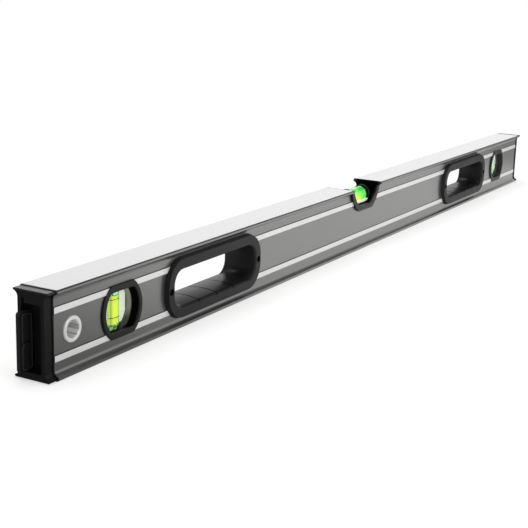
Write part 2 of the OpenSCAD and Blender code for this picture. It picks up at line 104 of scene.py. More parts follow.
# %% Camera at the photograph's angle
FOCAL_PX = 1159.93
FRAME_PX = 528
SENSOR = 36.0
NEAREST_SEEN = 0.05
YAW, PITCH, ROLL = 0.5154, -0.2477, 0.0291
eye = Vector((-0.9803058, -0.4600778, 0.2519875))
ahead = Vector((math.cos(YAW) * math.cos(PITCH), math.sin(YAW) * math.cos(PITCH), math.sin(PITCH)))
level_right = Vector((math.sin(YAW), -math.cos(YAW), 0))
level_up = level_right.cross(ahead)
cam_right = level_right * math.cos(ROLL) + level_up * math.sin(ROLL)
cam_up = level_up * math.cos(ROLL) - level_right * math.sin(ROLL)
camera_data = bpy.data.cameras.new("photo_camera")
camera_data.sensor_width = SENSOR
camera_data.lens = FOCAL_PX / FRAME_PX * SENSOR
camera_data.clip_start = NEAREST_SEEN
camera = bpy.data.objects.new("photo_camera", camera_data)
scene.collection.objects.link(camera)
turn = Matrix((cam_right, cam_up, -ahead)).transposed()
camera.matrix_world = Matrix.Translation(eye) @ turn.to_4x4()
scene.camera = camera
print("lens in mm:", round(camera_data.lens, 2))

# %% [markdown]
# ## The floor
# A white sweep stays white in the photograph, and only a faint shadow shows under the beam.
# The camera and glass see a floor that is half lit and half glowing at strength 1.
# Farther out it glows alone. The light that it throws on the level comes from its plain white.
# Mirrored rays see it dim towards the two ends, which stands in for a dark card at each:
# that keeps the end caps black and shades the two ends of the beam.

# %% Floor
FLOOR_HALF = 30.0
FLOOR_DROP = 0.1 * MM
NEAR_EDGE, FAR_EDGE = 0.55, 0.95
HALF_LIT = 0.5
CARD_FROM, CARD_TO = -0.46, -0.12
CARD_LEVEL = 0.25
FAR_CARD_FROM, FAR_CARD_TO = 0.48, 0.66
FAR_CARD_LEVEL = 0.45
sheet = bmesh.new()
bmesh.ops.create_grid(sheet, x_segments=1, y_segments=1, size=FLOOR_HALF)
bmesh.ops.translate(sheet, verts=sheet.verts, vec=(0, 0, -FLOOR_DROP))
floor_mesh = bpy.data.meshes.new("studio_floor")
sheet.to_mesh(floor_mesh)
sheet.free()
floor = bpy.data.objects.new("studio_floor", floor_mesh)
scene.collection.objects.link(floor)

floor_white, tree = new_finish("white_paper_sweep")
rays = add_node(tree, "ShaderNodeLightPath")
mirrored = rays.outputs["Is Glossy Ray"]
seen = add_node(tree, "ShaderNodeMath", {0: rays.outputs["Is Camera Ray"], 1: mirrored},
                operation="MAXIMUM")
seen = add_node(tree, "ShaderNodeMath", {0: seen, 1: rays.outputs["Is Transmission Ray"]},
                operation="MAXIMUM")
here = add_node(tree, "ShaderNodeTexCoord").outputs["Object"]
away = add_node(tree, "ShaderNodeVectorMath", {0: here}, operation="LENGTH").outputs["Value"]
glow_share = add_node(tree, "ShaderNodeMapRange", {"Value": away, "From Min": NEAR_EDGE,
                      "From Max": FAR_EDGE, "To Min": HALF_LIT, "To Max": 1.0},
                      interpolation_type="SMOOTHSTEP")
share = add_node(tree, "ShaderNodeMath", {0: seen, 1: glow_share}, operation="MULTIPLY")
along = add_node(tree, "ShaderNodeSeparateXYZ", {0: here}).outputs["X"]
card = add_node(tree, "ShaderNodeMapRange", {"Value": along, "From Min": CARD_FROM, "From Max": CARD_TO,
                "To Min": CARD_LEVEL, "To Max": 1.0}, interpolation_type="SMOOTHSTEP")
far_card = add_node(tree, "ShaderNodeMapRange", {"Value": along, "From Min": FAR_CARD_FROM,
                    "From Max": FAR_CARD_TO, "To Min": 1.0, "To Max": FAR_CARD_LEVEL},
                    interpolation_type="SMOOTHSTEP")
card = add_node(tree, "ShaderNodeMath", {0: card, 1: far_card}, operation="MULTIPLY")
dimmed = add_node(tree, "ShaderNodeMix", {0: mirrored, 2: 1.0, 3: card}, data_type="FLOAT")
white = add_node(tree, "ShaderNodeMix", {0: dimmed, 6: srgb("#000000"), 7: srgb("#fbfbfa")},
                 data_type="RGBA")
paper = add_node(tree, "ShaderNodeBsdfDiffuse", {"Color": white})
glow = add_node(tree, "ShaderNodeEmission", {"Color": srgb("#ffffff"), "Strength": dimmed})
mixed = add_node(tree, "ShaderNodeMixShader", {0: share, 1: paper, 2: glow})
add_node(tree, "ShaderNodeOutputMaterial", {"Surface": mixed})
floor_mesh.materials.append(floor_white)
print("floor half size in m:", FLOOR_HALF)

# %% [markdown]
# ## The room
# What a glossy thing mirrors makes most of its look, so the room has to be right as well.
# Low down it is white, like the sweep. Higher up it darkens, like a studio's ceiling,
# and that dark shows as lines in the coves and lips that face up and out.
# Close to the horizon it is dim towards the left, where the floor's dark card stands up.

# %% World
ROOM_LIGHT = 0.62
CEILING = 0.04
LOW_SINE, HIGH_SINE = 0.30, 0.46
DIM_SIDE = 0.12
DIM_TO, DIM_FROM = -0.4, 0.3
CARD_LOW, CARD_TOP = 0.06, 0.16
world = bpy.data.worlds.new("studio_room")
scene.world = world
world.use_nodes = True
tree = world.node_tree
tree.nodes.clear()
rays = add_node(tree, "ShaderNodeLightPath")
seen = add_node(tree, "ShaderNodeMath", {0: rays.outputs["Is Camera Ray"],
                1: rays.outputs["Is Transmission Ray"]}, operation="MAXIMUM")
way = add_node(tree, "ShaderNodeTexCoord").outputs["Generated"]
parts = add_node(tree, "ShaderNodeSeparateXYZ", {0: way})
ceiling = add_node(tree, "ShaderNodeMapRange", {"Value": parts.outputs["Z"], "From Min": LOW_SINE,
                   "From Max": HIGH_SINE, "To Min": 1.0, "To Max": CEILING},
                   interpolation_type="SMOOTHSTEP")
side = add_node(tree, "ShaderNodeMapRange", {"Value": parts.outputs["X"], "From Min": DIM_TO,
                "From Max": DIM_FROM, "To Min": DIM_SIDE, "To Max": 1.0}, interpolation_type="SMOOTHSTEP")
over_card = add_node(tree, "ShaderNodeMapRange", {"Value": parts.outputs["Z"],
                     "From Min": CARD_LOW, "From Max": CARD_TOP})
side = add_node(tree, "ShaderNodeMath", {0: side, 1: over_card}, operation="MAXIMUM")
mirrored = add_node(tree, "ShaderNodeMath", {0: ceiling, 1: side}, operation="MULTIPLY")
plain = add_node(tree, "ShaderNodeMix", {0: rays.outputs["Is Glossy Ray"], 2: ROOM_LIGHT, 3: mirrored},
                 data_type="FLOAT")
level = add_node(tree, "ShaderNodeMix", {0: seen, 2: plain, 3: 1.0}, data_type="FLOAT")
room = add_node(tree, "ShaderNodeBackground", {"Color": srgb("#ffffff"), "Strength": level})
add_node(tree, "ShaderNodeOutputWorld", {"Surface": room})


# %% [markdown]
# ## The lamps
# Soft boxes are area lamps: the larger they are, the softer the shadow.
# A large one hangs overhead, and a weaker one fills the front.

# %% Lamps
def softbox(name, where, aim, size, watts):
    """Hangs a square area lamp that faces a point."""
    data = bpy.data.lights.new(name, "AREA")
    data.size, data.energy = size, watts
    lamp = bpy.data.objects.new(name, data)
    lamp.location = where
    lamp.rotation_euler = (Vector(aim) - Vector(where)).to_track_quat("-Z", "Y").to_euler()
    scene.collection.objects.link(lamp)


softbox("overhead_box", where=(0.1, 0.25, 2.2), aim=(0, 0, 0), size=2.2, watts=34)
softbox("front_box", where=(-0.8, -2.0, 1.3), aim=(0, 0, 0), size=1.2, watts=14)

# %% [markdown]
# ## The beam: graphite enamel and milled aluminium
# The real beam is an extruded aluminium box with a satin metallic enamel baked on it.
# After that, a cutter skims the two measuring faces and the proud stripes back to bright metal.
# The wide faces keep a mirror-like sheen. The narrow stripes are cut coarser, so they scatter light
# and stay bright from any side. A dark line just under the edge of the top face and above each stripe
# is painted shade. One material holds all of it, and masks from the place on the beam say
# which is where.

# %% Enamel and milled metal in one material
MID_Z = 29.5 * MM
STRIPE_Z = 15.75 * MM
STRIPE_HALF = 2.05 * MM
STRIPE_FACE = 11.45 * MM
FACE_FROM_MID = 29.45 * MM
LINE_UP, LINE_HALF = 2.3 * MM, 0.2 * MM
EDGE_LINE, EDGE_LINE_HALF = 28.85 * MM, 0.35 * MM
MARK_LONG, MARK_WIDE = 60 * MM, 0.35 * MM
FLAKE = 0.5 * MM
BUMP_HEIGHT = 0.05 * MM
beam_finish, tree = new_finish("satin_graphite_enamel_and_milled_aluminium")
here = add_node(tree, "ShaderNodeTexCoord").outputs["Object"]
parts = add_node(tree, "ShaderNodeSeparateXYZ", {0: here})
height = add_node(tree, "ShaderNodeMath", {0: parts.outputs["Z"], 1: MID_Z}, operation="SUBTRACT")
from_mid = add_node(tree, "ShaderNodeMath", {0: height}, operation="ABSOLUTE")
depth = add_node(tree, "ShaderNodeMath", {0: parts.outputs["Y"]}, operation="ABSOLUTE")
on_line = add_node(tree, "ShaderNodeMath", {0: from_mid, 1: STRIPE_Z, 2: STRIPE_HALF},
                   operation="COMPARE")
proud = add_node(tree, "ShaderNodeMath", {0: depth, 1: STRIPE_FACE}, operation="GREATER_THAN")
stripe = add_node(tree, "ShaderNodeMath", {0: on_line, 1: proud}, operation="MULTIPLY")
skimmed = add_node(tree, "ShaderNodeMath", {0: from_mid, 1: FACE_FROM_MID}, operation="GREATER_THAN")
bare = add_node(tree, "ShaderNodeMath", {0: stripe, 1: skimmed}, operation="MAXIMUM")
# Painted shade: dark lines just under the top face's edge and above each stripe
painted_shade_line = 0.0
for at, half in ((STRIPE_Z + LINE_UP, LINE_HALF), (LINE_UP - STRIPE_Z, LINE_HALF),
                 (EDGE_LINE, EDGE_LINE_HALF)):
    line = add_node(tree, "ShaderNodeMath", {0: height, 1: at, 2: half}, operation="COMPARE")
    painted_shade_line = add_node(tree, "ShaderNodeMath", {0: painted_shade_line, 1: line}, operation="MAXIMUM")
# Cutter marks run along the beam: long in X, a third of a millimetre across
marks = add_node(tree, "ShaderNodeMapping", {"Vector": here,
                 "Scale": (1 / MARK_LONG, 1 / MARK_WIDE, 1 / MARK_WIDE)})
marks = add_node(tree, "ShaderNodeTexNoise", {"Vector": marks, "Scale": 1.0, "Detail": 3.0})
# Flakes in the enamel are far smaller; they are drawn half a millimetre wide to be seen at all
flakes = add_node(tree, "ShaderNodeTexNoise", {"Vector": here, "Scale": 1 / FLAKE, "Detail": 2.0})
enamel = add_node(tree, "ShaderNodeMix", {0: flakes, 6: srgb("#7b7b7a"), 7: srgb("#878786")},
                  data_type="RGBA")
enamel = add_node(tree, "ShaderNodeMix", {0: painted_shade_line, 6: enamel, 7: srgb("#484848")}, data_type="RGBA")
metal = add_node(tree, "ShaderNodeMix", {0: marks, 6: srgb("#ededee"), 7: srgb("#fafafa")},
                 data_type="RGBA")
coarse = add_node(tree, "ShaderNodeMix", {0: marks, 6: srgb("#d6d6d6"), 7: srgb("#e6e6e6")},
                  data_type="RGBA")
colour = add_node(tree, "ShaderNodeMix", {0: bare, 6: enamel, 7: metal}, data_type="RGBA")
colour = add_node(tree, "ShaderNodeMix", {0: stripe, 6: colour, 7: coarse}, data_type="RGBA")
metallic = add_node(tree, "ShaderNodeMix", {0: bare, 2: 0.85, 3: 1.0}, data_type="FLOAT")
metallic = add_node(tree, "ShaderNodeMix", {0: stripe, 2: metallic, 3: 0.3}, data_type="FLOAT")
milled = add_node(tree, "ShaderNodeMapRange", {"Value": marks, "To Min": 0.16, "To Max": 0.3})
rough = add_node(tree, "ShaderNodeMix", {0: bare, 2: 0.3, 3: milled}, data_type="FLOAT")
rough = add_node(tree, "ShaderNodeMix", {0: stripe, 2: rough, 3: 0.4}, data_type="FLOAT")
lacquer = add_node(tree, "ShaderNodeMix", {0: bare, 2: 0.2, 3: 0.0}, data_type="FLOAT")
relief = add_node(tree, "ShaderNodeMix", {0: bare, 2: flakes, 3: marks}, data_type="FLOAT")
bump = add_node(tree, "ShaderNodeBump", {"Strength": 0.06, "Distance": BUMP_HEIGHT, "Height": relief})
shader = add_node(tree, "ShaderNodeBsdfPrincipled", {"Base Color": colour, "Metallic": metallic,
                  "Roughness": rough, "Coat Weight": lacquer, "Coat Roughness": 0.15, "Normal": bump})
add_node(tree, "ShaderNodeOutputMaterial", {"Surface": shader})
print("stripes at", STRIPE_Z / MM, "mm above and below the middle")

# %% [markdown]
# ## Plastics and rubber
# Grips, caps and bezels are injection-moulded in black plastic, with a fine spark-eroded grain.
# The grain is about 0.3 mm wide. It scatters most of the mirror image, so the gloss level is low
# and the black stays deep face on, while a soft sheen still shows at flat angles.

# %% Moulded black finishes
GLOSS_PATCH = 25 * MM
GLOSS_CHANGE = 0.05


def moulded(name, dark, light, rough, gloss, grain, depth):
    """Moulded plastic or rubber: two close colours over a fine grain, and a broad change in gloss."""
    material, tree = new_finish(name)
    here = add_node(tree, "ShaderNodeTexCoord").outputs["Object"]
    skin = add_node(tree, "ShaderNodeTexNoise", {"Vector": here, "Scale": 1 / grain, "Detail": 3.0})
    broad = add_node(tree, "ShaderNodeTexNoise", {"Vector": here, "Scale": 1 / GLOSS_PATCH, "Detail": 1.0})
    colour = add_node(tree, "ShaderNodeMix", {0: skin, 6: srgb(dark), 7: srgb(light)}, data_type="RGBA")
    satin = add_node(tree, "ShaderNodeMapRange", {"Value": broad, "To Min": rough - GLOSS_CHANGE,
                     "To Max": rough + GLOSS_CHANGE})
    bump = add_node(tree, "ShaderNodeBump", {"Strength": depth, "Distance": BUMP_HEIGHT, "Height": skin})
    shader = add_node(tree, "ShaderNodeBsdfPrincipled", {"Base Color": colour, "Roughness": satin,
                      "Specular IOR Level": gloss, "Normal": bump})
    add_node(tree, "ShaderNodeOutputMaterial", {"Surface": shader})
    return material


grip_finish = moulded("grained_black_polypropylene", "#101010", "#171717", 0.5, 0.28, 0.35 * MM, 0.25)
cap_finish = moulded("moulded_black_nylon", "#0b0b0b", "#111111", 0.45, 0.2, 0.3 * MM, 0.2)
# The far cap's finish is a darker, less glossy copy of the cap's: painted shade
far_cap_shaded_finish = moulded("darker_nylon_painted_shade", "#080808", "#0e0e0e", 0.6, 0.05, 0.3 * MM, 0.2)
bezel_finish = moulded("moulded_black_abs", "#0c0c0c", "#121212", 0.42, 0.3, 0.3 * MM, 0.15)
# The far bezel's finish is a lighter copy of the bezel's, with no dark inner walls: painted light
far_bezel_lit_finish = moulded("lighter_abs_painted_light", "#101010", "#181818", 0.42, 0.35, 0.3 * MM, 0.15)
rubber_finish = moulded("black_bumper_rubber", "#101010", "#161616", 0.6, 0.3, 0.4 * MM, 0.3)
# The bead's lighter rubber is a painted highlight along the pads' edges
bead_highlight_finish = moulded("lighter_rubber_bead_painted_highlight", "#202020", "#2a2a2a", 0.35, 0.5, 0.4 * MM, 0.1)
ring_finish = moulded("olive_reader_ring_ink", "#3a4806", "#4c5c0c", 0.5, 0.3, 0.2 * MM, 0.1)
disc_finish = moulded("dark_vial_end_disc", "#10140a", "#181c10", 0.5, 0.3, 0.2 * MM, 0.1)

# %% [markdown]
# ## Where a moulding changes
# The left cap's top face came off a polished part of the mould, so it shines under the sky.
# The walls inside a vial's bezel are painted near black with almost no gloss, as painted shade, so that
# they don't mirror the liquid.
# Only the right front bezel is satin inside as well, as the photograph shows it lighter, and its colour is
# lighter too, as painted light.
# Fingers have worn the floor of each grip smooth, and it shines where light comes through.

# %% Polished cap top
CAP_TOP = 57.5 * MM


def reopen(material):
    """The tree and shader of a finish, the place on the part, and that place's X, Y and Z."""
    tree = material.node_tree
    here = add_node(tree, "ShaderNodeTexCoord").outputs["Object"]
    axes = add_node(tree, "ShaderNodeSeparateXYZ", {0: here})
    return tree, tree.nodes["Principled BSDF"], here, axes.outputs


tree, shader, here, axes = reopen(cap_finish)
polished = add_node(tree, "ShaderNodeMath", {0: axes["Z"], 1: CAP_TOP}, operation="GREATER_THAN")
tree.links.new(polished.outputs[0], shader.inputs["Coat Weight"])
shader.inputs["Coat Roughness"].default_value = 0.25
print("cap polished above", CAP_TOP / MM, "mm")

# %% Bezel walls with painted shade
tree, shader, here, axes = reopen(bezel_finish)
depth = add_node(tree, "ShaderNodeMath", {0: axes["Y"]}, operation="ABSOLUTE")
outer = add_node(tree, "ShaderNodeMath", {0: depth, 1: STRIPE_FACE}, operation="GREATER_THAN")
shine = add_node(tree, "ShaderNodeMapRange", {"Value": outer, "To Min": 0.03, "To Max": 0.3})
skin = shader.inputs["Base Color"].links[0].from_socket
# Inside the bezel the colour is painted near black: painted shade
colour = add_node(tree, "ShaderNodeMix", {0: outer, 6: srgb("#030303"), 7: skin}, data_type="RGBA")
tree.links.new(colour.outputs[2], shader.inputs["Base Color"])
tree.links.new(shine.outputs[0], shader.inputs["Specular IOR Level"])
print("bezel walls are matt within", STRIPE_FACE / MM, "mm of the middle")

# %% Worn grip floors
WORN_DEPTH = 12 * MM
GRIP_FLOOR = 20.5 * MM
WORN_PATCH = 6 * MM
tree, shader, here, axes = reopen(grip_finish)
depth = add_node(tree, "ShaderNodeMath", {0: axes["Y"]}, operation="ABSOLUTE")
inside = add_node(tree, "ShaderNodeMath", {0: depth, 1: WORN_DEPTH}, operation="LESS_THAN")
low = add_node(tree, "ShaderNodeMath", {0: axes["Z"], 1: GRIP_FLOOR}, operation="LESS_THAN")
worn = add_node(tree, "ShaderNodeMath", {0: inside, 1: low}, operation="MULTIPLY")
wear = add_node(tree, "ShaderNodeTexNoise", {"Vector": here, "Scale": 1 / WORN_PATCH, "Detail": 3.0})
wear = add_node(tree, "ShaderNodeMapRange", {"Value": wear, "To Min": 0.4, "To Max": 0.7})
wear = add_node(tree, "ShaderNodeMath", {0: wear, 1: worn}, operation="MULTIPLY")
tree.links.new(wear.outputs[0], shader.inputs["Coat Weight"])
shader.inputs["Coat Roughness"].default_value = 0.28
print("grips worn below", GRIP_FLOOR / MM, "mm")

# %% [markdown]
# ## Metal details
# The eyelet is turned aluminium, so its fine marks run round its axis.
# The screws are steel with a black oxide coat, which leaves a dark, slightly oily metal.

# %% Eyelet
EYELET_X = -431.4 * MM
EYELET_BORE_R = 6.2 * MM
TURNED_MARK = 0.25 * MM
GLINTS_ROUND = 4.0
eyelet_finish, tree = new_finish("turned_aluminium")
here = add_node(tree, "ShaderNodeTexCoord").outputs["Object"]
centred = add_node(tree, "ShaderNodeVectorMath", {0: here, 1: (EYELET_X, 0, MID_Z)}, operation="SUBTRACT")
flat = add_node(tree, "ShaderNodeVectorMath", {0: centred, 1: (1, 0, 1)}, operation="MULTIPLY")
radius = add_node(tree, "ShaderNodeVectorMath", {0: flat}, operation="LENGTH").outputs["Value"]
depth = add_node(tree, "ShaderNodeSeparateXYZ", {0: centred}).outputs["Y"]
ring_place = add_node(tree, "ShaderNodeCombineXYZ", {0: radius, 1: depth})
turned = add_node(tree, "ShaderNodeTexNoise", {"Vector": ring_place, "Scale": 1 / TURNED_MARK,
                  "Detail": 2.0})
colour = add_node(tree, "ShaderNodeMix", {0: turned, 6: srgb("#d8d8d7"), 7: srgb("#f2f2f1")},
                  data_type="RGBA")
# Painted reflection: bright and grey streaks along the bore, which run with the axis
spoke = add_node(tree, "ShaderNodeVectorMath", {0: flat}, operation="NORMALIZE")
painted_bore_glints = add_node(tree, "ShaderNodeTexNoise", {"Vector": spoke, "Scale": GLINTS_ROUND, "Detail": 4.0})
painted_bore_glints = add_node(tree, "ShaderNodeMapRange", {"Value": painted_bore_glints, "From Min": 0.4, "From Max": 0.6})
bore = add_node(tree, "ShaderNodeMath", {0: radius, 1: EYELET_BORE_R}, operation="LESS_THAN")
glinting_bore = add_node(tree, "ShaderNodeMix", {0: painted_bore_glints, 6: srgb("#acacab"), 7: srgb("#ffffff")},
                 data_type="RGBA")
colour = add_node(tree, "ShaderNodeMix", {0: bore, 6: colour, 7: glinting_bore}, data_type="RGBA")
satin = add_node(tree, "ShaderNodeMapRange", {"Value": turned, "To Min": 0.24, "To Max": 0.4})
shader = add_node(tree, "ShaderNodeBsdfPrincipled", {"Base Color": colour, "Metallic": 0.5,
                  "Roughness": satin})
add_node(tree, "ShaderNodeOutputMaterial", {"Surface": shader})
print("eyelet at x in mm:", EYELET_X / MM)

# %% Screws
OXIDE_GRAIN = 0.4 * MM
screw_finish, tree = new_finish("black_oxide_steel")
here = add_node(tree, "ShaderNodeTexCoord").outputs["Object"]
oxide = add_node(tree, "ShaderNodeTexNoise", {"Vector": here, "Scale": 1 / OXIDE_GRAIN, "Detail": 3.0})
colour = add_node(tree, "ShaderNodeMix", {0: oxide, 6: srgb("#1a1a1b"), 7: srgb("#303031")},
                  data_type="RGBA")
satin = add_node(tree, "ShaderNodeMapRange", {"Value": oxide, "To Min": 0.3, "To Max": 0.45})
shader = add_node(tree, "ShaderNodeBsdfPrincipled", {"Base Color": colour, "Metallic": 1.0,
                  "Roughness": satin})
add_node(tree, "ShaderNodeOutputMaterial", {"Surface": shader})
print("screw finish:", screw_finish.name)

# %% [markdown]
# ## Clear acrylic
# The vials are machined from clear acrylic, which bends light with an index of 1.49.
# Its polish is never quite even, so a faint pattern in the roughness softens what lies behind.
# Each plumb block sits in a moulded pocket. Where it touches the pocket, its edge is opaque and mirrors
# nothing, and it is painted with light and shade and glows a little: dark at the back, then a grey band,
# and black towards the front and the foot. The centre barrel has no such edge: a drum a metre across is
# larger than any piece.

# %% Acrylic
BLOCK_R, BLOCK_H = 18.6 * MM, 15.6 * MM
EDGE_SKIN = 0.05 * MM
BAND_FRONT, BAND_BACK = -2.8 * MM, 4.6 * MM
FOOT_LIT, FOOT_DARK = -4 * MM, -11 * MM
POLISH_PATCH = 3 * MM
NO_EDGE = 1.0


def acrylic_finish(name, centre_x, block_r, block_h, band, back):
    """Clear acrylic, with an opaque edge on a drum of this radius and half height round the Y axis."""
    material, tree = new_finish(name)
    here = add_node(tree, "ShaderNodeTexCoord").outputs["Object"]
    polish = add_node(tree, "ShaderNodeTexNoise", {"Vector": here, "Scale": 1 / POLISH_PATCH,
                      "Detail": 2.0})
    gloss = add_node(tree, "ShaderNodeMapRange", {"Value": polish, "To Min": 0.0, "To Max": 0.05})
    clear = add_node(tree, "ShaderNodeBsdfPrincipled", {"Base Color": srgb("#f8fcf4"), "Roughness": gloss,
                     "IOR": 1.49, "Transmission Weight": 1.0})
    centred = add_node(tree, "ShaderNodeVectorMath", {0: here, 1: (centre_x, 0, MID_Z)},
                       operation="SUBTRACT")
    axes = add_node(tree, "ShaderNodeSeparateXYZ", {0: centred})
    flat = add_node(tree, "ShaderNodeVectorMath", {0: centred, 1: (1, 0, 1)}, operation="MULTIPLY")
    radius = add_node(tree, "ShaderNodeVectorMath", {0: flat}, operation="LENGTH").outputs["Value"]
    round_edge = add_node(tree, "ShaderNodeMath", {0: radius, 1: block_r - EDGE_SKIN},
                          operation="GREATER_THAN")
    height = add_node(tree, "ShaderNodeMath", {0: axes.outputs["Z"]}, operation="ABSOLUTE")
    flat_edge = add_node(tree, "ShaderNodeMath", {0: height, 1: block_h - EDGE_SKIN},
                         operation="GREATER_THAN")
    edge = add_node(tree, "ShaderNodeMath", {0: round_edge, 1: flat_edge}, operation="MAXIMUM")
    behind = add_node(tree, "ShaderNodeMath", {0: axes.outputs["Y"], 1: BAND_BACK},
                      operation="GREATER_THAN")
    before = add_node(tree, "ShaderNodeMath", {0: axes.outputs["Y"], 1: BAND_FRONT},
                      operation="LESS_THAN")
    black = add_node(tree, "ShaderNodeMath", {0: before, 1: flat_edge}, operation="MAXIMUM")
    # Painted light and shade on the edge, with a little glow: a grey band, a dark back, a black front and
    # foot
    pocket_light_and_shade = add_node(tree, "ShaderNodeMix", {0: behind, 6: srgb(band), 7: srgb(back)}, data_type="RGBA")
    foot = add_node(tree, "ShaderNodeMapRange", {"Value": axes.outputs["Z"], "From Min": FOOT_LIT,
                    "From Max": FOOT_DARK})
    black = add_node(tree, "ShaderNodeMath", {0: black, 1: foot}, operation="MAXIMUM")
    pocket_light_and_shade = add_node(tree, "ShaderNodeMix", {0: black, 6: pocket_light_and_shade, 7: srgb("#060606")}, data_type="RGBA")
    pocket_light_shader = add_node(tree, "ShaderNodeBsdfPrincipled", {"Base Color": pocket_light_and_shade, "Roughness": 0.5,
                        "Emission Color": pocket_light_and_shade, "Emission Strength": 0.55})
    mixed = add_node(tree, "ShaderNodeMixShader", {0: edge, 1: clear, 2: pocket_light_shader})
    add_node(tree, "ShaderNodeOutputMaterial", {"Surface": mixed})
    return material


acrylic = acrylic_finish("polished_clear_acrylic", 0, NO_EDGE, NO_EDGE, "#6f6f72", "#34382a")
print("block edge painted", EDGE_SKIN / MM, "mm deep")

# %% [markdown]
# ## The white reflectors
# A white plate behind each vial throws the light back through the liquid, and a little glow on it is
# painted light.
# Beside a plumb vial a strip of it shows white, and past the strip's ends the plate is painted dark, as
# painted shade.

# %% Reflector finishes
STRIP_END = 17.7 * MM
STRIP_HALF_H = 13.2 * MM
CLOUD = 2 * MM


def reflector_finish(name, centre_x, striped):
    """White styrene with a little glow as painted light. Where it is striped, it is painted dark past the
    strip's ends, as painted shade.
    """
    material, tree = new_finish(name)
    here = add_node(tree, "ShaderNodeTexCoord").outputs["Object"]
    centred = add_node(tree, "ShaderNodeVectorMath", {0: here, 1: (centre_x, 0, MID_Z)},
                       operation="SUBTRACT")
    off = add_node(tree, "ShaderNodeVectorMath", {0: centred}, operation="ABSOLUTE")
    off = add_node(tree, "ShaderNodeSeparateXYZ", {0: off})
    cloud = add_node(tree, "ShaderNodeTexNoise", {"Vector": here, "Scale": 1 / CLOUD, "Detail": 2.0})
    white = add_node(tree, "ShaderNodeMix", {0: cloud, 6: srgb("#e2e4dc"), 7: srgb("#f0f2ea")},
                     data_type="RGBA")
    aside = add_node(tree, "ShaderNodeMath", {0: off.outputs["X"], 1: STRIP_END},
                     operation="GREATER_THAN")
    ended = add_node(tree, "ShaderNodeMath", {0: off.outputs["Z"], 1: STRIP_HALF_H},
                     operation="GREATER_THAN")
    past = add_node(tree, "ShaderNodeMath", {0: aside, 1: ended}, operation="MAXIMUM")
    shaded_past_strip = add_node(tree, "ShaderNodeMath", {0: past, 1: float(striped)}, operation="MULTIPLY")
    colour = add_node(tree, "ShaderNodeMix", {0: shaded_past_strip, 6: white, 7: srgb("#24261c")}, data_type="RGBA")
    shader = add_node(tree, "ShaderNodeBsdfPrincipled", {"Base Color": colour, "Roughness": 0.5,
                      "Emission Color": colour, "Emission Strength": 0.6})
    add_node(tree, "ShaderNodeOutputMaterial", {"Surface": shader})
    return material


# %% [markdown]
# ## The vial liquid
# The dye in the liquid is fluorescent: it turns unseen light into yellow green and seems to glow.
# Across the column it is yellow in the middle, where the light comes through most, and greener
# towards its sides. A little emission on top of a plain colour gives that glow in any light.

# %% Liquid material
CHAMBER_R = 5.7 * MM
FOOT_BELOW = -10.8 * MM
RIM_REACH = 1.5
SPARKLE = 2.2 * MM
SWIRL, WANDER = 6 * MM, 0.6 * MM
LIQUID_GLOW = 0.6
# Each oval's middle as offset and height, its half width and half height, the height at which the
# shade starts, and the colours of the oval and the shade. The far bubble mirrors the white room.
NEAR_OVAL = ((2.6 * MM, 10.3 * MM, 0), 2.7 * MM, 1.1 * MM, 11.4 * MM, "#b4f0cc", "#1c6c28")
FAR_OVAL = ((1.5 * MM, 9.0 * MM, 0), 3.0 * MM, 2.4 * MM, 3.5 * MM, "#ffffff", "#eef4ea")


def sparkles(tree, here):
    """Small cells of dark and pale green: painted glints, as facets at the foot of a vial scatter the
    light.
    """
    cells = add_node(tree, "ShaderNodeTexVoronoi", {"Vector": here, "Scale": 1 / SPARKLE})
    lit = add_node(tree, "ShaderNodeSeparateColor", {0: cells.outputs["Color"]}).outputs["Red"]
    colours = add_node(tree, "ShaderNodeValToRGB", {"Fac": lit})
    set_stops(colours.color_ramp.elements, [(0.0, "#2c6a26"), (0.45, "#6aa03c"), (0.7, "#b4d8a0"),
                                            (0.9, "#e4f4e4")])
    return colours


def bubble_over(tree, centred, across, dye, bubble):
    """Draws a bubble and a sparkling foot over the dye: an oval, its rim, and the rim's shade above."""
    middle, half_wide, half_tall, shade_from, oval_code, shade_code = bubble
    side = add_node(tree, "ShaderNodeVectorMath", {0: centred, 1: across},
                    operation="DOT_PRODUCT").outputs["Value"]
    height = add_node(tree, "ShaderNodeSeparateXYZ", {0: centred}).outputs["Z"]
    place = add_node(tree, "ShaderNodeCombineXYZ", {0: side, 1: height})
    place = add_node(tree, "ShaderNodeVectorMath", {0: place, 1: middle}, operation="SUBTRACT")
    place = add_node(tree, "ShaderNodeVectorMath", {0: place, 1: (1 / half_wide, 1 / half_tall, 0)},
                     operation="MULTIPLY")
    reach = add_node(tree, "ShaderNodeVectorMath", {0: place}, operation="LENGTH").outputs["Value"]
    inside = add_node(tree, "ShaderNodeMath", {0: reach, 1: 1.0}, operation="LESS_THAN")
    rim = add_node(tree, "ShaderNodeMath", {0: reach, 1: RIM_REACH}, operation="LESS_THAN")
    above = add_node(tree, "ShaderNodeMath", {0: height, 1: shade_from}, operation="GREATER_THAN")
    shade = add_node(tree, "ShaderNodeMath", {0: rim, 1: above}, operation="MAXIMUM")
    foot = add_node(tree, "ShaderNodeMath", {0: height, 1: FOOT_BELOW}, operation="LESS_THAN")
    dye = add_node(tree, "ShaderNodeMix", {0: foot, 6: dye, 7: sparkles(tree, centred)},
                   data_type="RGBA")
    shaded = add_node(tree, "ShaderNodeMix", {0: shade, 6: dye, 7: srgb(shade_code)}, data_type="RGBA")
    return add_node(tree, "ShaderNodeMix", {0: inside, 6: shaded, 7: srgb(oval_code)}, data_type="RGBA")


